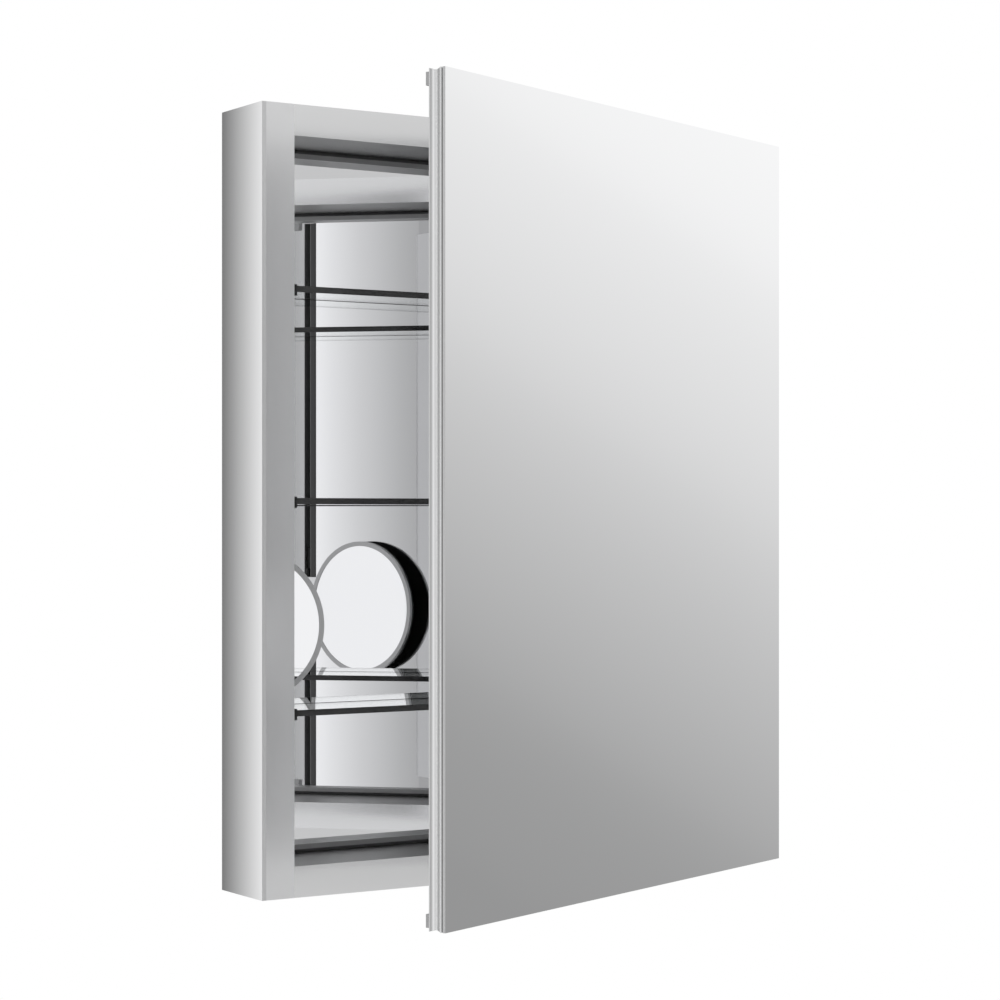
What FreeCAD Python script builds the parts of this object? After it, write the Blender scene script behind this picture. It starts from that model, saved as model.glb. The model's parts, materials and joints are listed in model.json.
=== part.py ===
import FreeCAD, Part
import math
import os

# Wall-hung medicine cabinet with a mirrored door, millimetres.
# X runs to the right seen from the front, Y runs back towards the wall, Z is up.
# The origin is the middle of the back, where the cabinet meets the wall.

# ---- driving dimensions -------------------------------------------------------------
BODY_WIDTH = 596.0
BODY_HEIGHT = 758.0
BODY_DEPTH = 94.0
SIDE_DEPTH = 85.0
SIDE_PANEL = 4.5
STILE_WIDTH = 30.1
RAIL_HEIGHT = 30.0
SHEET = 1.5
BACK_MIRROR = 2.5
BACK_BORDER = 8.0
BEAD_HEIGHT = 5.0
BEAD_DEPTH = 4.0

DOOR_WIDTH = 600.0
DOOR_HEIGHT = 762.0
DOOR_THICK = 18.0
DOOR_GAP = 4.0
REST_OPENING = 22.08
FRONT_GLASS = 3.0
BACKING = 1.0
INNER_GLASS = 3.0
FREE_BORDER = 19.2
HINGE_BORDER = 48.0
DOOR_RAIL = 7.0
COVE_RADIUS = 12.0
COVE_DEPTH = 1.5
COVE_BACKWARD = 0.4
TRACK_WIDTH = 11.1
TRACK_WALL = 1.0
TRACK_DEPTH = 11.5
FLANGE_WIDTH = 6.7
FLANGE_GAP = 1.4

SHELF_THICK = 6.0
SHELF_SPACING = 204.3
SHELF_SETBACK = 17.0
SHELF_BACK_GAP = 3.0
SHELF_SIDE_GAP = 2.0
SHELF_TRACK_WIDTH = 8.0
SHELF_TRACK_THICK = 1.2
CLIP_LENGTH = 12.0
CLIP_REACH = 10.0

HINGE_HEIGHT = 280.0
HINGE_INSET = 4.5
HINGE_BEHIND_FRONT = 15.0
HINGE_SPAN = 44.0
PIN_RADIUS = 2.0
KNUCKLE_RADIUS = 4.0
RUNNING_GAP = 0.05

ROUND_RADIUS = 86.3
ROUND_THICK = 7.0
ROUND_RING = 5.8
ROUND_CENTRE = 124.4
ROUND_HEIGHT = -134.2
FLIP_REST = 5.0
FLIP_KNUCKLE = 2.8
FLIP_PIN = 1.2
LEAF_THICK = 1.5
SLIDING_GAP = 0.3

# ---- places worked out from them ------------------------------------------------------
HALF_W = BODY_WIDTH / 2
HALF_H = BODY_HEIGHT / 2
FRONT = -BODY_DEPTH
BOX_X = HALF_W - SIDE_PANEL
INNER_X = BOX_X - STILE_WIDTH
INNER_Z = HALF_H - RAIL_HEIGHT
MIRROR_FACE = -(SHEET + BACK_MIRROR)

DOOR_LEFT = -DOOR_WIDTH / 2
DOOR_RIGHT = DOOR_WIDTH / 2
DOOR_BACK = FRONT - DOOR_GAP
DOOR_FRONT = DOOR_BACK - DOOR_THICK
DOOR_TOP = DOOR_HEIGHT / 2
FRAME_FRONT = DOOR_FRONT + FRONT_GLASS + BACKING

HINGE_X = HALF_W - HINGE_INSET
HINGE_Y = FRONT + HINGE_BEHIND_FRONT
FLIP_X = DOOR_LEFT + FREE_BORDER + TRACK_WIDTH / 2
FLIP_Y = DOOR_BACK - 0.5
UP = FreeCAD.Vector(0, 0, 1)


# ---- helpers --------------------------------------------------------------------------
def block(x0, x1, y0, y1, z0, z1):
    corner = FreeCAD.Vector(min(x0, x1), min(y0, y1), min(z0, z1))
    return Part.makeBox(abs(x1 - x0), abs(y1 - y0), abs(z1 - z0), corner)


def rod(radius, start, direction, length):
    return Part.makeCylinder(radius, length, FreeCAD.Vector(*start), FreeCAD.Vector(*direction))


def prism_y(outline, y0, y1):
    points = [FreeCAD.Vector(x, y0, z) for x, z in outline]
    face = Part.Face(Part.makePolygon(points + points[:1]))
    return face.extrude(FreeCAD.Vector(0, y1 - y0, 0))


def group(solids):
    return Part.makeCompound(solids)


def mirror_x(shape):
    return shape.mirror(FreeCAD.Vector(0, 0, 0), FreeCAD.Vector(1, 0, 0))


def mirror_z(shape):
    return shape.mirror(FreeCAD.Vector(0, 0, 0), FreeCAD.Vector(0, 0, 1))


def open_door(shape):
    """Swing a piece from the closed door to the resting opening."""
    turned = shape.copy()
    turned.rotate(FreeCAD.Vector(HINGE_X, HINGE_Y, 0), UP, REST_OPENING)
    return turned


def flip_out(shape):
    """Turn a piece of the round mirror out from the door's inner face."""
    turned = shape.copy()
    turned.rotate(FreeCAD.Vector(FLIP_X, FLIP_Y, 0), UP, FLIP_REST)
    return open_door(turned)


# ---- cabinet --------------------------------------------------------------------------
def hinge_notch(z):
    """Corner pocket of the right wall that one hinge sits in."""
    half = HINGE_SPAN / 2
    return block(HALF_W - 18, HALF_W + 1, FRONT - 1, FRONT + 25, z - half, z + half)


def side_panels():
    left = block(-HALF_W, -BOX_X, FRONT, FRONT + SIDE_DEPTH, -HALF_H, HALF_H)
    right = mirror_x(left)
    for z in (-HINGE_HEIGHT, HINGE_HEIGHT):
        right = right.cut(hinge_notch(z))
    return left, right


def boxed_wall():
    """Hollow left wall, open at the back, where the back panel closes it."""
    outer = block(-BOX_X, -INNER_X, FRONT, -SHEET, -HALF_H, HALF_H)
    hollow = block(-BOX_X + SHEET, -INNER_X - SHEET, FRONT + SHEET, 0, SHEET - HALF_H, HALF_H - SHEET)
    return outer.cut(hollow)


def right_boxed_wall():
    wall = mirror_x(boxed_wall())
    for z in (-HINGE_HEIGHT, HINGE_HEIGHT):
        wall = wall.cut(hinge_notch(z))
    return wall


def boxed_rail():
    outer = block(-INNER_X, INNER_X, FRONT, -SHEET, INNER_Z, HALF_H)
    hollow = block(-INNER_X - 1, INNER_X + 1, FRONT + SHEET, 0, INNER_Z + SHEET, HALF_H - SHEET)
    return outer.cut(hollow)


BRACKET_HALF = 225.0
BRACKET_LOW = HALF_H - 25.0
BRACKET_HIGH = HALF_H - 5.0
STUD_SPACING = 406.4
WALL_SCREW_RADIUS = 3.0


def back_panel():
    panel = block(-BOX_X, BOX_X, -SHEET, 0, -HALF_H, HALF_H)
    window = block(-BRACKET_HALF - 1, BRACKET_HALF + 1, -SHEET - 1, 1, BRACKET_LOW - 1, BRACKET_HIGH + 1)
    return panel.cut(window)


def hanging_bracket():
    """Wall strip with a lip that the top rail hangs on, and two screw holes."""
    strip = block(-BRACKET_HALF, BRACKET_HALF, -2, 0, BRACKET_LOW, BRACKET_HIGH)
    lip = block(-BRACKET_HALF, BRACKET_HALF, -8, -2, BRACKET_HIGH - 2, BRACKET_HIGH)
    bracket = strip.fuse(lip)
    middle = (BRACKET_LOW + BRACKET_HIGH) / 2 - 1
    for side in (-1, 1):
        bracket = bracket.cut(rod(WALL_SCREW_RADIUS, (side * STUD_SPACING / 2, -5, middle), (0, 1, 0), 10))
    return bracket.removeSplitter()


def back_mirror():
    x = INNER_X - BACK_BORDER
    z = INNER_Z - BACK_BORDER
    return block(-x, x, MIRROR_FACE, -SHEET, -z, z)


def mirror_beads():
    x = INNER_X - BACK_BORDER
    z = INNER_Z - BACK_BORDER
    top = block(-x, x, -SHEET - BEAD_DEPTH, -SHEET, z, z + BEAD_HEIGHT)
    side = block(-x - BEAD_HEIGHT, -x, -SHEET - BEAD_DEPTH, -SHEET, -z - BEAD_HEIGHT, z + BEAD_HEIGHT)
    return group([top, mirror_z(top), side, mirror_x(side)])


CORNER_BLOCK = 20.0
SCREW_RADIUS = 2.0
SCREW_HEAD = 3.5
SCREW_LENGTH = 14.0


def corner_hardware():
    """Blocks inside the rail ends, and the screws that pull the walls against them."""
    blocks = []
    screws = []
    for side in (-1, 1):
        for end in (-1, 1):
            inner = side * (INNER_X - CORNER_BLOCK)
            solid = block(inner, side * INNER_X, FRONT + 8, -14, end * (INNER_Z + SHEET), end * (HALF_H - SHEET))
            for y in (FRONT + 22, -28):
                z = end * (INNER_Z + RAIL_HEIGHT / 2)
                start = (side * (INNER_X + SHEET), y, z)
                shank = rod(SCREW_RADIUS, start, (-side, 0, 0), SCREW_LENGTH)
                head = rod(SCREW_HEAD, start, (side, 0, 0), 2.2)
                solid = solid.cut(shank)
                screws.append(shank.fuse(head).removeSplitter())
            blocks.append(solid)
    return group(blocks), group(screws)


def shelf_track_ys():
    front = FRONT + SHELF_SETBACK + CLIP_LENGTH / 2 - 1
    back = MIRROR_FACE - SHELF_BACK_GAP - CLIP_LENGTH / 2
    return front, back


def shelf_tracks():
    tracks = []
    for y in shelf_track_ys():
        half = SHELF_TRACK_WIDTH / 2
        z = INNER_Z - 12
        left = block(-INNER_X, -INNER_X + SHELF_TRACK_THICK, y - half, y + half, -z, z)
        tracks += [left, mirror_x(left)]
    return group(tracks)


# ---- shelves --------------------------------------------------------------------------
def shelf(z):
    x = INNER_X - SHELF_SIDE_GAP
    back = MIRROR_FACE - SHELF_BACK_GAP
    return block(-x, x, FRONT + SHELF_SETBACK, back, z - SHELF_THICK / 2, z + SHELF_THICK / 2)


def shelf_clips(z, glass):
    clips = []
    outer = INNER_X - SHELF_TRACK_THICK - SLIDING_GAP
    low = z - SHELF_THICK / 2 - 3.6
    high = z + SHELF_THICK / 2 + 1.3
    for y in shelf_track_ys():
        half = CLIP_LENGTH / 2
        left = block(-outer, -outer + CLIP_REACH, y - half, y + half, low, high)
        left = left.cut(glass)
        clips += [left, mirror_x(left)]
    return group(clips)


# ---- hinges ---------------------------------------------------------------------------
EAR = 2.5
LEVER_HALF = HINGE_SPAN / 2 - EAR - 0.8


def hinge_bracket(z):
    """Pocketed housing in the wall's corner, whose two ears hold the pin."""
    half = HINGE_SPAN / 2
    outer = block(HALF_W - 18, HALF_W - 0.5, FRONT + 1, FRONT + 25, z - half, z + half)
    pocket = block(HALF_W - 16, HALF_W, FRONT, FRONT + 23, z - half + EAR, z + half - EAR)
    pin_hole = rod(PIN_RADIUS, (HINGE_X, HINGE_Y, z - half), (0, 0, 1), HINGE_SPAN)
    return outer.cut(pocket).cut(pin_hole)


def hinge_pin(z):
    half = HINGE_SPAN / 2
    return rod(PIN_RADIUS, (HINGE_X, HINGE_Y, z - half), (0, 0, 1), HINGE_SPAN)


LEVER_ARM = 5.0
LEVER_LEAF = 2.5
LEVER_REACH = 26.0
LEVER_SCREWS = (-20.0, -9.0)


def lever_screw_places(z):
    return [(HINGE_X + x, z + dz) for x in LEVER_SCREWS for dz in (-11, 11)]


def lever_screw(x, z):
    shank = rod(SCREW_RADIUS, (x, DOOR_BACK + LEVER_LEAF, z), (0, -1, 0), 11)
    head = rod(SCREW_HEAD, (x, DOOR_BACK + LEVER_LEAF, z), (0, -1, 0), 1.4)
    return shank.fuse(head).removeSplitter()


def hinge_lever(z):
    """Knuckle, short arm out of the pocket and the leaf screwed to the door's stile."""
    low = z - LEVER_HALF
    high = z + LEVER_HALF
    knuckle = rod(KNUCKLE_RADIUS, (HINGE_X, HINGE_Y, low), (0, 0, 1), high - low)
    half = LEVER_ARM / 2
    arm = block(HINGE_X - half, HINGE_X + half, HINGE_Y, DOOR_BACK, low, high)
    leaf = block(HINGE_X - LEVER_REACH, HINGE_X + half, DOOR_BACK, DOOR_BACK + LEVER_LEAF, low, high)
    lever = knuckle.fuse(arm).fuse(leaf).removeSplitter()
    lever = lever.cut(rod(PIN_RADIUS + RUNNING_GAP, (HINGE_X, HINGE_Y, low - 1), (0, 0, 1), 2 * LEVER_HALF + 2))
    for x, screw_z in lever_screw_places(z):
        lever = lever.cut(lever_screw(x, screw_z))
    return lever


# ---- door, drawn closed ---------------------------------------------------------------
def cove(start, direction, length):
    return rod(COVE_RADIUS, start, direction, length)


COVE_SHIFT = COVE_RADIUS - COVE_DEPTH
COVE_Y = (FRAME_FRONT + DOOR_BACK) / 2 + COVE_BACKWARD


def free_stile():
    z = DOOR_TOP
    inner = DOOR_LEFT + FREE_BORDER
    outline = [
        (DOOR_LEFT, z), (DOOR_LEFT, -z), (DOOR_LEFT + DOOR_RAIL, DOOR_RAIL - z),
        (inner, DOOR_RAIL - z), (inner, z - DOOR_RAIL), (DOOR_LEFT + DOOR_RAIL, z - DOOR_RAIL),
    ]
    stile = prism_y(outline, FRAME_FRONT, DOOR_BACK)
    return stile.cut(cove((DOOR_LEFT - COVE_SHIFT, COVE_Y, -z - 1), (0, 0, 1), 2 * z + 2))


def hinge_stile():
    z = DOOR_TOP
    inner = DOOR_RIGHT - HINGE_BORDER
    outline = [
        (DOOR_RIGHT, z), (DOOR_RIGHT, -z), (DOOR_RIGHT - DOOR_RAIL, DOOR_RAIL - z),
        (inner, DOOR_RAIL - z), (inner, z - DOOR_RAIL), (DOOR_RIGHT - DOOR_RAIL, z - DOOR_RAIL),
    ]
    stile = prism_y(outline, FRAME_FRONT, DOOR_BACK)
    stile = stile.cut(cove((DOOR_RIGHT + COVE_SHIFT, COVE_Y, -z - 1), (0, 0, 1), 2 * z + 2))
    for hinge_z in (-HINGE_HEIGHT, HINGE_HEIGHT):
        for x, screw_z in lever_screw_places(hinge_z):
            stile = stile.cut(lever_screw(x, screw_z))
    return stile


def door_top_rail():
    z = DOOR_TOP
    low = z - DOOR_RAIL
    outline = [(DOOR_LEFT, z), (DOOR_RIGHT, z), (DOOR_RIGHT - DOOR_RAIL, low), (DOOR_LEFT + DOOR_RAIL, low)]
    rail = prism_y(outline, FRAME_FRONT, DOOR_BACK)
    return rail.cut(cove((DOOR_LEFT - 1, COVE_Y, z + COVE_SHIFT), (1, 0, 0), DOOR_WIDTH + 2))


TRACK_IN = DOOR_LEFT + FREE_BORDER
TRACK_OUT = TRACK_IN + TRACK_WIDTH
FLANGE_OUT = TRACK_OUT + FLANGE_WIDTH
GLASS_LEFT = FLANGE_OUT + FLANGE_GAP
GLASS_RIGHT = DOOR_RIGHT - HINGE_BORDER
GLASS_TOP = DOOR_TOP - DOOR_RAIL
TRACK_FLOOR = DOOR_BACK - TRACK_DEPTH


def mirror_track():
    outer = block(TRACK_IN, TRACK_OUT, TRACK_FLOOR, DOOR_BACK, -GLASS_TOP, GLASS_TOP)
    slot = block(TRACK_IN + TRACK_WALL, TRACK_OUT - TRACK_WALL, TRACK_FLOOR + TRACK_WALL, DOOR_BACK + 1,
                 -GLASS_TOP - 1, GLASS_TOP + 1)
    return outer.cut(slot)


def track_flange():
    return block(TRACK_OUT, FLANGE_OUT, TRACK_FLOOR, DOOR_BACK, -GLASS_TOP, GLASS_TOP)


def front_mirror():
    return block(DOOR_LEFT, DOOR_RIGHT, DOOR_FRONT, DOOR_FRONT + FRONT_GLASS, -DOOR_TOP, DOOR_TOP)


def backing_sheet():
    edge = 0.8
    return block(DOOR_LEFT + edge, DOOR_RIGHT - edge, DOOR_FRONT + FRONT_GLASS, FRAME_FRONT,
                 edge - DOOR_TOP, DOOR_TOP - edge)


def inner_mirror():
    return block(GLASS_LEFT, GLASS_RIGHT, DOOR_BACK - INNER_GLASS, DOOR_BACK, -GLASS_TOP, GLASS_TOP)


def door_core():
    return block(GLASS_LEFT, GLASS_RIGHT, FRAME_FRONT, DOOR_BACK - INNER_GLASS, -GLASS_TOP, GLASS_TOP)


BUMPER_HEIGHT = 12.0
BUMPER_WIDTH = 12.0
BUMPER_THICK = 3.8
BUMPER_INSET = 0.6
BUMPER_FROM_TOP = 2.9


def door_bumpers():
    x = DOOR_LEFT + BUMPER_INSET
    top = DOOR_TOP - BUMPER_FROM_TOP
    upper = block(x, x + BUMPER_WIDTH, DOOR_BACK, DOOR_BACK + BUMPER_THICK, top - BUMPER_HEIGHT, top)
    return group([upper, mirror_z(upper)])


# ---- round mirror, drawn flat against the closed door ---------------------------------
CARRIAGE_HALF = 77.0
CARRIAGE_Z = ROUND_HEIGHT
LEAF_SPANS = ((13.0, 38.5), (-38.5, -13.0))
LUG_SPANS = ((38.8, 50.0), (-12.7, 12.7), (-50.0, -38.8))
PIN_SPAN = 50.0
ROUND_BACK = DOOR_BACK + 0.5
ROUND_FRONT = ROUND_BACK + ROUND_THICK
ROUND_X = DOOR_LEFT + ROUND_CENTRE
HOUSING_BASE = 3.0
LEAF_BITE = 9.0


def disc(radius, y0, y1):
    return rod(radius, (ROUND_X, y0, ROUND_HEIGHT), (0, 1, 0), y1 - y0)


def mirror_carriage():
    """Slider in the track, with three lugs that hold the flip pin."""
    x0 = TRACK_IN + TRACK_WALL + SLIDING_GAP
    x1 = TRACK_OUT - TRACK_WALL - SLIDING_GAP
    y0 = TRACK_FLOOR + TRACK_WALL + SLIDING_GAP
    y1 = FLIP_Y - FLIP_KNUCKLE - 0.5
    carriage = block(x0, x1, y0, y1, CARRIAGE_Z - CARRIAGE_HALF, CARRIAGE_Z + CARRIAGE_HALF)
    for low, high in LUG_SPANS:
        z0 = ROUND_HEIGHT + low
        z1 = ROUND_HEIGHT + high
        barrel = rod(FLIP_KNUCKLE, (FLIP_X, FLIP_Y, z0), (0, 0, 1), z1 - z0)
        web = block(FLIP_X - FLIP_KNUCKLE, FLIP_X + FLIP_KNUCKLE, y1 - 1, FLIP_Y, z0, z1)
        carriage = carriage.fuse(barrel).fuse(web)
    carriage = carriage.removeSplitter()
    return carriage.cut(rod(FLIP_PIN, (FLIP_X, FLIP_Y, ROUND_HEIGHT - PIN_SPAN), (0, 0, 1), 2 * PIN_SPAN))


def flip_pin():
    return rod(FLIP_PIN, (FLIP_X, FLIP_Y, ROUND_HEIGHT - PIN_SPAN), (0, 0, 1), 2 * PIN_SPAN)


def flip_leaves():
    leaves = []
    for low, high in LEAF_SPANS:
        z0 = ROUND_HEIGHT + low
        z1 = ROUND_HEIGHT + high
        knuckle = rod(FLIP_KNUCKLE, (FLIP_X, FLIP_Y, z0), (0, 0, 1), z1 - z0)
        farther = max(abs(low), abs(high))
        rim = ROUND_X - math.sqrt(ROUND_RADIUS ** 2 - farther ** 2)
        plate = block(FLIP_X, rim + LEAF_BITE, ROUND_BACK, ROUND_BACK + LEAF_THICK, z0, z1)
        leaf = knuckle.fuse(plate).removeSplitter()
        hole = rod(FLIP_PIN + RUNNING_GAP, (FLIP_X, FLIP_Y, z0 - 1), (0, 0, 1), z1 - z0 + 2)
        leaves.append(leaf.cut(hole))
    return group(leaves)


def round_housing(leaves):
    base = disc(ROUND_RADIUS, ROUND_BACK, ROUND_BACK + HOUSING_BASE)
    seat = disc(ROUND_RADIUS - ROUND_RING, ROUND_BACK, ROUND_FRONT - 3)
    return base.fuse(seat).removeSplitter().cut(leaves)


def round_ring():
    outer = disc(ROUND_RADIUS, ROUND_BACK + HOUSING_BASE, ROUND_FRONT)
    return outer.cut(disc(ROUND_RADIUS - ROUND_RING, ROUND_BACK, ROUND_FRONT + 1))


def round_glass():
    return disc(ROUND_RADIUS - ROUND_RING, ROUND_FRONT - 3, ROUND_FRONT - 0.6)


# ---- build every node -----------------------------------------------------------------
def all_nodes():
    nodes = {}
    nodes["left_side_panel"], nodes["right_side_panel"] = side_panels()
    nodes["left_wall"] = boxed_wall()
    nodes["right_wall"] = right_boxed_wall()
    nodes["top_rail"] = boxed_rail()
    nodes["bottom_rail"] = mirror_z(boxed_rail())
    nodes["back_panel"] = back_panel()
    nodes["back_mirror"] = back_mirror()
    nodes["mirror_beads"] = mirror_beads()
    nodes["corner_blocks"], nodes["frame_screws"] = corner_hardware()
    for wall in ("left_wall", "right_wall"):
        nodes[wall] = nodes[wall].cut(nodes["frame_screws"])
    nodes["shelf_tracks"] = shelf_tracks()
    nodes["hanging_bracket"] = hanging_bracket()

    for name, z in (("top", SHELF_SPACING), ("middle", 0.0), ("bottom", -SHELF_SPACING)):
        glass = shelf(z)
        nodes[name + "_shelf"] = glass
        nodes[name + "_shelf_clips"] = shelf_clips(z, glass)

    for name, z in (("upper", HINGE_HEIGHT), ("lower", -HINGE_HEIGHT)):
        nodes[name + "_hinge_bracket"] = hinge_bracket(z)
        nodes[name + "_hinge_lever"] = open_door(hinge_lever(z))
    nodes["hinge_pins"] = group([hinge_pin(z) for z in (HINGE_HEIGHT, -HINGE_HEIGHT)])
    screws = [lever_screw(*place) for z in (-HINGE_HEIGHT, HINGE_HEIGHT) for place in lever_screw_places(z)]
    nodes["lever_screws"] = open_door(group(screws))

    door = {
        "front_mirror": front_mirror(),
        "backing_sheet": backing_sheet(),
        "door_core": door_core(),
        "inner_mirror": inner_mirror(),
        "free_stile": free_stile(),
        "hinge_stile": hinge_stile(),
        "door_top_rail": door_top_rail(),
        "door_bottom_rail": mirror_z(door_top_rail()),
        "mirror_track": mirror_track(),
        "track_flange": track_flange(),
        "door_bumpers": door_bumpers(),
        "mirror_carriage": mirror_carriage(),
        "flip_pin": flip_pin(),
    }
    for name, shape in door.items():
        nodes[name] = open_door(shape)

    leaves = flip_leaves()
    nodes["flip_leaves"] = flip_out(leaves)
    nodes["round_housing"] = flip_out(round_housing(leaves))
    nodes["round_ring"] = flip_out(round_ring())
    nodes["round_glass"] = flip_out(round_glass())
    return nodes


def main():
    os.makedirs("parts", exist_ok=True)
    for name, shape in all_nodes().items():
        if not shape.isValid():
            print("not valid:", name)
        shape.exportStep("parts/" + name + ".step")


main()
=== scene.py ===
import bpy
import json
import math
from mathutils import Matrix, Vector


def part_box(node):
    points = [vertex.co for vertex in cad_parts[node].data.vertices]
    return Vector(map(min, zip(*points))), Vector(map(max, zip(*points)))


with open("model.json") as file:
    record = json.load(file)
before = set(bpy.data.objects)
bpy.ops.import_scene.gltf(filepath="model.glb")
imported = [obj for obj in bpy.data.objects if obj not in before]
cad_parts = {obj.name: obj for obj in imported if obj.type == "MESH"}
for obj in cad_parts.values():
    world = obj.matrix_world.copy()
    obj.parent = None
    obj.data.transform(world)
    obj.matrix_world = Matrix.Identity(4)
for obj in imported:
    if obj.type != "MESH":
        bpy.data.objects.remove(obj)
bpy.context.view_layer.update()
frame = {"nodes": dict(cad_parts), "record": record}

MM = 0.001
REST_OPENING = 22.08                # degrees that the door stands open at rest
NODES = frame["nodes"]


# ---- camera ---------------------------------------------------------------------------
VIEW_SIDE = math.radians(32.6)      # how far the camera stands to the left of the cabinet's front
CAMERA_PLACE = Vector((-1404.2, -2242.0, -13.7)) * MM
LENS = 91.44
SENSOR_WIDTH = 36.0
SHIFT_UP = 0.0153
FARTHEST_SEEN = 50.0


def make_camera():
    data = bpy.data.cameras.new("camera")
    data.lens = LENS
    data.sensor_width = SENSOR_WIDTH
    data.shift_y = SHIFT_UP
    data.clip_end = FARTHEST_SEEN
    camera = bpy.data.objects.new("camera", data)
    camera.location = CAMERA_PLACE
    camera.rotation_euler = (math.radians(90), 0, -VIEW_SIDE)
    bpy.context.scene.collection.objects.link(camera)
    bpy.context.scene.camera = camera


# ---- shader helpers -------------------------------------------------------------------
def new_material(name):
    material = bpy.data.materials.new(name)
    material.use_nodes = True
    tree = material.node_tree
    return material, tree, tree.nodes["Principled BSDF"]


def object_coordinates(tree, scale):
    where = tree.nodes.new("ShaderNodeTexCoord")
    mapping = tree.nodes.new("ShaderNodeMapping")
    mapping.inputs["Scale"].default_value = scale
    tree.links.new(where.outputs["Object"], mapping.inputs["Vector"])
    return mapping.outputs["Vector"]


def noise(tree, vector, scale, detail):
    node = tree.nodes.new("ShaderNodeTexNoise")
    node.inputs["Scale"].default_value = scale
    node.inputs["Detail"].default_value = detail
    tree.links.new(vector, node.inputs["Vector"])
    return node.outputs["Fac"]


def ramp(tree, value, low, high):
    """Map a 0 to 1 value onto the range between two numbers."""
    node = tree.nodes.new("ShaderNodeMapRange")
    node.inputs["To Min"].default_value = low
    node.inputs["To Max"].default_value = high
    tree.links.new(value, node.inputs["Value"])
    return node.outputs["Result"]


def tint(tree, value, dark, light):
    node = tree.nodes.new("ShaderNodeMix")
    node.data_type = "RGBA"
    node.inputs["A"].default_value = (*dark, 1)
    node.inputs["B"].default_value = (*light, 1)
    tree.links.new(value, node.inputs["Factor"])
    return node.outputs["Result"]


def bump(tree, shader, value, strength):
    node = tree.nodes.new("ShaderNodeBump")
    node.inputs["Strength"].default_value = strength
    node.inputs["Distance"].default_value = TEXTURE_DEPTH
    tree.links.new(value, node.inputs["Height"])
    tree.links.new(node.outputs["Normal"], shader.inputs["Normal"])


def grey(value):
    """A very slightly cool grey."""
    return (value, value * 1.002, value * 1.008)


# ---- materials ------------------------------------------------------------------------
EVEN = (1, 1, 1)
GRAIN_UPRIGHT = (60, 60, 4)
GRAIN_ACROSS = (4, 60, 60)
GRAIN_SHORT = (8, 60, 60)
GRAIN_NONE = (30, 30, 30)
TEXTURE_DEPTH = 0.1 * MM


def satin_metal(name, tone, roughness, grain=GRAIN_UPRIGHT):
    """Anodised aluminium: fine drawn grain along its length and a slightly uneven sheen."""
    material, tree, shader = new_material(name)
    lines = noise(tree, object_coordinates(tree, grain), scale=22.0, detail=6.0)
    cloud = noise(tree, object_coordinates(tree, EVEN), scale=9.0, detail=2.0)
    tree.links.new(tint(tree, lines, grey(tone * 0.97), grey(tone)), shader.inputs["Base Color"])
    tree.links.new(ramp(tree, cloud, roughness * 0.92, roughness * 1.08), shader.inputs["Roughness"])
    shader.inputs["Metallic"].default_value = 1.0
    bump(tree, shader, lines, strength=0.02)
    return material


def mirror_glass(name, tone):
    """Silvered float glass, with the faint unevenness that real glass has."""
    material, tree, shader = new_material(name)
    wave = noise(tree, object_coordinates(tree, EVEN), scale=3.0, detail=1.0)
    tree.links.new(tint(tree, wave, grey(tone * 0.995), grey(tone)), shader.inputs["Base Color"])
    shader.inputs["Metallic"].default_value = 1.0
    shader.inputs["Roughness"].default_value = 0.0
    return material


def moulded(name, tone, roughness=0.45):
    """Moulded plastic with a fine spark-eroded texture."""
    material, tree, shader = new_material(name)
    grain = noise(tree, object_coordinates(tree, EVEN), scale=1400.0, detail=2.0)
    tree.links.new(tint(tree, grain, grey(tone * 0.85), grey(tone)), shader.inputs["Base Color"])
    tree.links.new(ramp(tree, grain, roughness * 0.9, roughness * 1.1), shader.inputs["Roughness"])
    bump(tree, shader, grain, strength=0.15)
    return material


def clear_glass(name):
    """Clear shelf glass with a breath of green."""
    material, tree, shader = new_material(name)
    speck = noise(tree, object_coordinates(tree, EVEN), scale=30.0, detail=2.0)
    tree.links.new(tint(tree, speck, (0.95, 0.98, 0.97), (0.97, 0.99, 0.98)), shader.inputs["Base Color"])
    shader.inputs["Transmission Weight"].default_value = 1.0
    shader.inputs["Roughness"].default_value = 0.0
    shader.inputs["IOR"].default_value = 1.5
    return material


def polished_edge(name, tone):
    """Ground and polished glass edge, which looks dark because light runs away inside the sheet."""
    material, tree, shader = new_material(name)
    haze = noise(tree, object_coordinates(tree, GRAIN_ACROSS), scale=12.0, detail=3.0)
    tree.links.new(tint(tree, haze, grey(tone * 0.8), grey(tone)), shader.inputs["Base Color"])
    tree.links.new(ramp(tree, haze, 0.12, 0.2), shader.inputs["Roughness"])
    return material


def painted(name, tone, roughness=0.35, metallic=0.0):
    """Coated sheet, with the fine orange-peel texture of the coating."""
    material, tree, shader = new_material(name)
    peel = noise(tree, object_coordinates(tree, EVEN), scale=420.0, detail=2.0)
    tree.links.new(tint(tree, peel, grey(tone * 0.92), grey(tone)), shader.inputs["Base Color"])
    tree.links.new(ramp(tree, peel, roughness * 0.95, roughness * 1.05), shader.inputs["Roughness"])
    shader.inputs["Metallic"].default_value = metallic
    bump(tree, shader, peel, strength=0.05)
    return material


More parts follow.
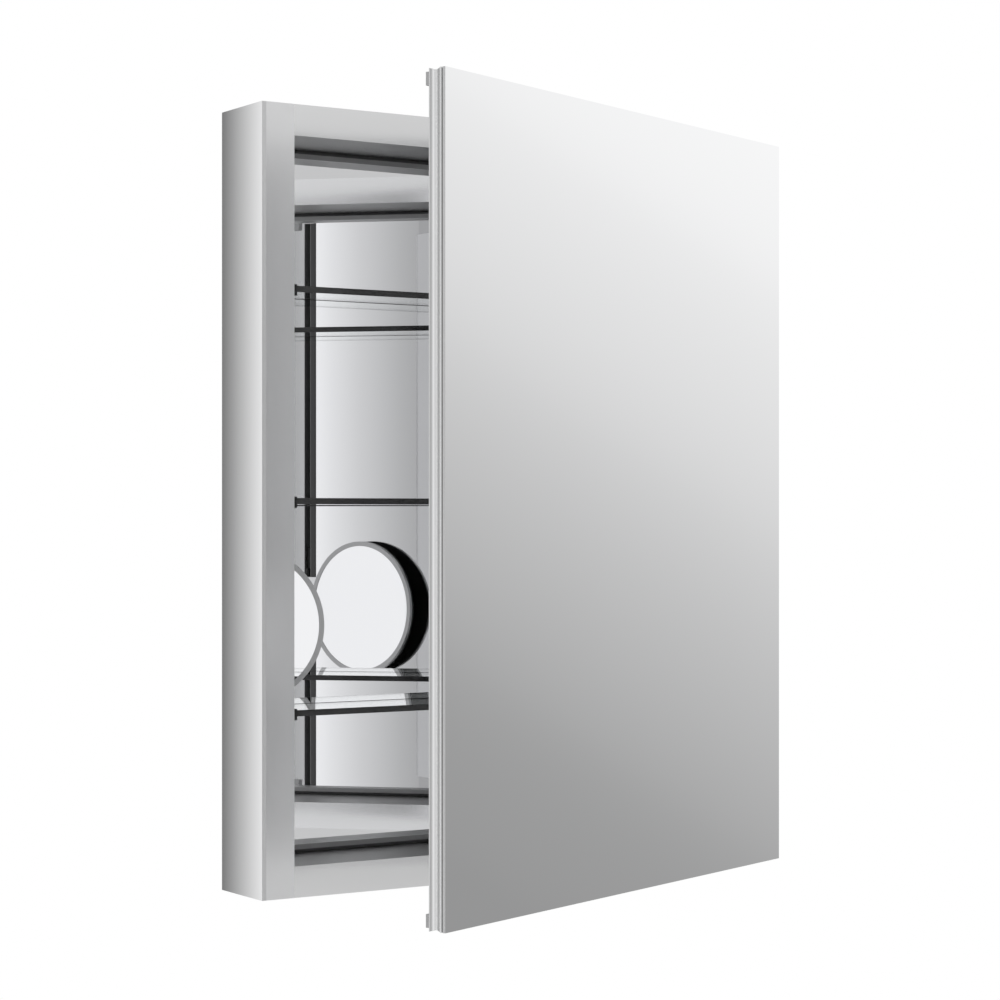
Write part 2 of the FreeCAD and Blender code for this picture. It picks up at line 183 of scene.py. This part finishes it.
def make_materials():
    """One material for each slot of the record, and five more that single faces get."""
    return {
        "satin_side": satin_metal("side_panel_metal", 0.90, 0.10),
        "satin_frame": satin_metal("rail_metal", 0.73, 0.16, GRAIN_ACROSS),
        "dark_sheet": painted("back_sheet", 0.12),
        "mirror_glass": mirror_glass("silvered_glass", 0.96),
        "bead_metal": satin_metal("bead_metal", 0.42, 0.35),
        "plain_steel": satin_metal("hinge_steel", 0.60, 0.25, GRAIN_SHORT),
        "clear_glass": clear_glass("shelf_glass"),
        "black_plastic": moulded("black_plastic", 0.012),
        "door_board": moulded("core_board", 0.4, 0.7),
        "door_frame": satin_metal("door_frame_metal", 0.90, 0.17),
        "dark_track": painted("track_black", 0.26, 0.35, 0.5),
        "grey_flange": satin_metal("flange_metal", 0.10, 0.35),
        "bumper": moulded("bumper_rubber", 0.55, 0.6),
        "flange_metal": satin_metal("flip_hinge_metal", 0.7, 0.12),
        "ring_metal": satin_metal("ring_metal", 0.48, 0.3, GRAIN_NONE),
        # painted shade: a darker copy of the rail metal for the rails' faces inside the cabinet
        "painted_shade_inside_metal": satin_metal("painted_shade_inside_metal", 0.27, 0.33, GRAIN_ACROSS),
        "stile_metal": satin_metal("stile_metal", 0.85, 0.36),
        "panel_edge": painted("panel_edge", 0.74, 0.6),
        "shelf_edge": polished_edge("shelf_edge", 0.035),
        "mirror_edge": polished_edge("mirror_edge", 0.75),
    }


def dress_nodes(materials):
    for part in frame["record"]["subparts"]:
        node = NODES[part["node"]]
        node.data.materials.clear()
        node.data.materials.append(materials[part["material_slot"]])


def paint_faces(node_name, material, wanted):
    """Give one node's faces a second material where wanted(normal, centre) is true."""
    mesh = NODES[node_name].data
    mesh.materials.append(material)
    slot = len(mesh.materials) - 1
    for face in mesh.polygons:
        if wanted(face.normal, face.center):
            face.material_index = slot


FACE_LIMIT = 0.5        # a face points along an axis if its normal's share of it is past this
FRONT_SKIN = 1 * MM
RAIL_SKIN = 5 * MM


def dress_faces(materials):
    """Front edges and glass edges have a finish of their own; the insides of the rails get a darker copy of
    the rail metal, which is painted shade.
    """
    for name in ("left_side_panel", "right_side_panel"):
        paint_faces(name, materials["panel_edge"], lambda normal, centre: normal.y < -FACE_LIMIT)
    for name in ("left_wall", "right_wall"):
        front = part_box(name)[0].y + FRONT_SKIN
        paint_faces(name, materials["stile_metal"], lambda normal, centre: centre.y < front)
    for name in ("top_shelf", "middle_shelf", "bottom_shelf"):
        paint_faces(name, materials["shelf_edge"], lambda normal, centre: abs(normal.z) < FACE_LIMIT)
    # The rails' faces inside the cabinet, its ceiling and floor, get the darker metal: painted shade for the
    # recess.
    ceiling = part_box("top_rail")[0].z + RAIL_SKIN
    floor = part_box("bottom_rail")[1].z - RAIL_SKIN
    paint_faces("top_rail", materials["painted_shade_inside_metal"],
                lambda normal, centre: normal.z < -FACE_LIMIT and centre.z < ceiling)
    paint_faces("bottom_rail", materials["painted_shade_inside_metal"],
                lambda normal, centre: normal.z > FACE_LIMIT and centre.z > floor)
    swing = math.radians(REST_OPENING)
    facing = Vector((math.sin(swing), -math.cos(swing), 0))
    paint_faces("front_mirror", materials["mirror_edge"],
                lambda normal, centre: abs(normal.dot(facing)) < FACE_LIMIT)


# ---- softened edges -------------------------------------------------------------------
SOFT_EDGES = {
    0.35 * MM: ("left_side_panel", "right_side_panel", "left_wall", "right_wall", "top_rail", "bottom_rail",
                "free_stile", "hinge_stile", "door_top_rail", "door_bottom_rail"),
    0.6 * MM: ("front_mirror", "round_housing", "mirror_carriage", "door_bumpers", "flip_leaves",
               "top_shelf_clips", "middle_shelf_clips", "bottom_shelf_clips"),
    0.5 * MM: ("top_shelf", "middle_shelf", "bottom_shelf", "round_ring", "mirror_beads", "hanging_bracket"),
}
SHARP_ANGLE = 40
EDGE_STEPS = 2


def soften_edges():
    """Small rounded arrises, as on ground glass, rolled sheet and extruded metal."""
    for width, names in SOFT_EDGES.items():
        for name in names:
            bevel = NODES[name].modifiers.new("soft_edge", "BEVEL")
            bevel.width = width
            bevel.segments = EDGE_STEPS
            bevel.limit_method = "ANGLE"
            bevel.angle_limit = math.radians(SHARP_ANGLE)
            bevel.use_clamp_overlap = True
            bevel.harden_normals = True


# ---- light ----------------------------------------------------------------------------
def math_node(tree, operation, first, second=0.0):
    node = tree.nodes.new("ShaderNodeMath")
    node.operation = operation
    for socket, value in zip(node.inputs, (first, second)):
        if isinstance(value, (int, float)):
            socket.default_value = value
        else:
            tree.links.new(value, socket)
    return node.outputs[0]


def curve(tree, value, stops, blending="CARDINAL"):
    """Grey curve through (position, brightness) stops, positions given in value's own units."""
    low = stops[0][0]
    high = stops[-1][0]
    scaled = tree.nodes.new("ShaderNodeMapRange")
    scaled.inputs["From Min"].default_value = low
    scaled.inputs["From Max"].default_value = high
    tree.links.new(value, scaled.inputs["Value"])
    node = tree.nodes.new("ShaderNodeValToRGB")
    node.color_ramp.interpolation = blending
    elements = node.color_ramp.elements
    while len(elements) < len(stops):
        elements.new(0.5)
    for element, (position, brightness) in zip(elements, stops):
        element.position = (position - low) / (high - low)
        element.color = (brightness, brightness, brightness, 1)
    tree.links.new(scaled.outputs["Result"], node.inputs["Fac"])
    return node.outputs["Color"]


def window(tree, azimuth, centre, half_width, soft):
    """1 within half_width degrees of an azimuth, falling to 0 over soft degrees."""
    away = math_node(tree, "ABSOLUTE", math_node(tree, "SUBTRACT", azimuth, centre))
    falling = tree.nodes.new("ShaderNodeMapRange")
    falling.interpolation_type = "SMOOTHSTEP"
    falling.inputs["From Min"].default_value = half_width
    falling.inputs["From Max"].default_value = half_width + soft
    falling.inputs["To Min"].default_value = 1.0
    falling.inputs["To Max"].default_value = 0.0
    tree.links.new(away, falling.inputs["Value"])
    return falling.outputs["Result"]


def blend(tree, factor, base, over):
    node = tree.nodes.new("ShaderNodeMix")
    node.data_type = "RGBA"
    tree.links.new(factor, node.inputs["Factor"])
    tree.links.new(base, node.inputs["A"])
    tree.links.new(over, node.inputs["B"])
    return node.outputs["Result"]


# Directions in degrees: azimuth from +X (right) through +Y (the wall), and height above level.
# Each list holds (position, brightness) stops.
AROUND = [
    (-180, 0.84), (-164, 0.82), (-148, 0.40), (-134, 0.74), (-118, 0.98), (-105, 0.97), (-90, 0.62),
    (-75, 0.58), (-40, 0.72), (40, 0.55), (100, 0.38), (140, 0.34), (152, 0.37), (168, 0.64)]
RIGHT_SIDE = [(-40, 0.28), (-8, 0.315), (-3, 0.41), (3.7, 0.655), (9.3, 0.865), (13, 0.97), (40, 1.0)]
RIGHT_SIDE_START = 14.2
RIGHT_SIDE_LEAN = 0.63
FAR_LEFT = [(100, 1.17), (220, 1.17)]
OVER_TOP = [(0, 0.42), (3.5, 0.44), (5.5, 0.58), (9, 0.64), (90, 0.9)]
RIGHT_FRONT = [
    (-40, 1.1), (-9, 0.92), (-6.5, 0.55), (-3, 0.44), (3, 0.44), (5.5, 0.54), (8.5, 0.90), (11, 1.06),
    (40, 1.2)]


def make_room_light(tree):
    """Brightness in every direction: a ring of light, with four patches blended over it."""
    where = tree.nodes.new("ShaderNodeTexCoord")
    split = tree.nodes.new("ShaderNodeSeparateXYZ")
    tree.links.new(where.outputs["Generated"], split.inputs[0])
    degrees = 180 / math.pi
    turn = math_node(tree, "ARCTAN2", split.outputs["Y"], split.outputs["X"])
    azimuth = math_node(tree, "MULTIPLY", turn, degrees)
    height = math_node(tree, "MULTIPLY", math_node(tree, "ARCSINE", split.outputs["Z"]), degrees)
    from_level = math_node(tree, "ABSOLUTE", height)
    lean = math_node(tree, "MULTIPLY", math_node(tree, "ADD", azimuth, RIGHT_SIDE_START), RIGHT_SIDE_LEAN)
    leaning_height = math_node(tree, "ADD", height, lean)

    shade = curve(tree, azimuth, AROUND)
    # what a patch's curve follows, its stops, and its middle azimuth, half width and soft border
    patches = [
        (leaning_height, RIGHT_SIDE, -11, 14, 14),
        (azimuth, FAR_LEFT, 159.5, 2.5, 2),
        (from_level, OVER_TOP, 106, 6, 5),
        (height, RIGHT_FRONT, -57, 14, 14),
    ]
    for followed, stops, centre, half_width, soft in patches:
        patch = window(tree, azimuth, centre, half_width, soft)
        shade = blend(tree, patch, shade, curve(tree, followed, stops))
    return shade


def make_world():
    """A white backdrop for the camera, and the room light for all other rays."""
    world = bpy.data.worlds.new("studio")
    bpy.context.scene.world = world
    world.use_nodes = True
    tree = world.node_tree
    backdrop = tree.nodes["Background"]
    backdrop.inputs["Color"].default_value = (1, 1, 1, 1)
    room = tree.nodes.new("ShaderNodeBackground")
    tree.links.new(make_room_light(tree), room.inputs["Color"])
    path = tree.nodes.new("ShaderNodeLightPath")
    mix = tree.nodes.new("ShaderNodeMixShader")
    tree.links.new(path.outputs["Is Camera Ray"], mix.inputs[0])
    tree.links.new(room.outputs[0], mix.inputs[1])
    tree.links.new(backdrop.outputs[0], mix.inputs[2])
    tree.links.new(mix.outputs[0], tree.nodes["World Output"].inputs["Surface"])


CARD_HEIGHT = 1.3
BRIGHTEST = 1.5
SIDE_CARD_DISTANCE = 0.16
SIDE_CARD_WIDTH = 0.22
SIDE_CARD_STOPS = [
    (-0.11, 0.40), (-0.06, 0.42), (-0.04, 1.35), (-0.03, 1.5), (-0.02, 1.12), (0.0, 0.79), (0.026, 0.36),
    (0.045, 0.09)]
INNER_CARD_X = -1.0
INNER_CARD_FRONT = 0.152
INNER_CARD_BACK = 0.37
INNER_CARD_STOPS = [(-0.109, 0.98), (-0.077, 0.865), (-0.024, 0.705), (0.057, 0.518), (0.109, 0.43)]


def light_card(name, middle, along, width, stops):
    """Upright card whose light changes along its width; only reflections see it."""
    mesh = bpy.data.meshes.new(name)
    half = width / 2
    tall = CARD_HEIGHT / 2
    corners = [(-half, -tall), (half, -tall), (half, tall), (-half, tall)]
    mesh.from_pydata([(x, 0, z) for x, z in corners], [], [(0, 1, 2, 3)])
    card = bpy.data.objects.new(name, mesh)
    card.location = middle
    card.rotation_euler = (0, 0, math.atan2(along.y, along.x))
    bpy.context.scene.collection.objects.link(card)
    material = bpy.data.materials.new(name)
    material.use_nodes = True
    tree = material.node_tree
    tree.nodes.clear()
    where = tree.nodes.new("ShaderNodeTexCoord")
    split = tree.nodes.new("ShaderNodeSeparateXYZ")
    tree.links.new(where.outputs["Object"], split.inputs[0])
    dimmed = [(position, brightness / BRIGHTEST) for position, brightness in stops]
    light = curve(tree, split.outputs["X"], dimmed, "LINEAR")
    emission = tree.nodes.new("ShaderNodeEmission")
    emission.inputs["Strength"].default_value = BRIGHTEST
    output = tree.nodes.new("ShaderNodeOutputMaterial")
    tree.links.new(light, emission.inputs["Color"])
    tree.links.new(emission.outputs[0], output.inputs["Surface"])
    mesh.materials.append(material)
    card.visible_camera = False
    card.visible_diffuse = False
    card.visible_shadow = False
    card.visible_transmission = False


def make_cards():
    """One card lights the side panel, the other is seen by the mirrors inside."""
    low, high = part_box("left_side_panel")
    panel = Vector((low.x, (low.y + high.y) / 2, 0))
    away = Vector((-math.sin(VIEW_SIDE), math.cos(VIEW_SIDE), 0))
    across = Vector((math.cos(VIEW_SIDE), math.sin(VIEW_SIDE), 0))
    light_card("side_card", panel + away * SIDE_CARD_DISTANCE, across, SIDE_CARD_WIDTH, SIDE_CARD_STOPS)
    width = INNER_CARD_BACK - INNER_CARD_FRONT
    middle = Vector((INNER_CARD_X, INNER_CARD_FRONT + width / 2, 0))
    light_card("inner_card", middle, Vector((0, 1, 0)), width, INNER_CARD_STOPS)


FLOOR_DROP = 0.75
FLOOR_RADIUS = 1.1
FLOOR_SIDES = 96
FLOOR_TONE = 0.85


def make_floor():
    bpy.ops.mesh.primitive_circle_add(vertices=FLOOR_SIDES, radius=FLOOR_RADIUS, fill_type="NGON",
                                      location=(0, 0, -FLOOR_DROP))
    floor = bpy.context.object
    floor.name = "floor"
    material, _, shader = new_material("floor_pale")
    shader.inputs["Base Color"].default_value = (FLOOR_TONE, FLOOR_TONE, FLOOR_TONE, 1)
    shader.inputs["Roughness"].default_value = 0.8
    floor.data.materials.append(material)


def set_rendering():
    """Light may bounce often, because the mirrors face each other."""
    scene = bpy.context.scene
    scene.view_settings.view_transform = "Standard"
    scene.cycles.max_bounces = 24
    scene.cycles.glossy_bounces = 16
    scene.cycles.transmission_bounces = 16
    scene.cycles.transparent_max_bounces = 16


make_camera()
materials = make_materials()
dress_nodes(materials)
dress_faces(materials)
soften_edges()
make_world()
make_cards()
make_floor()
set_rendering()
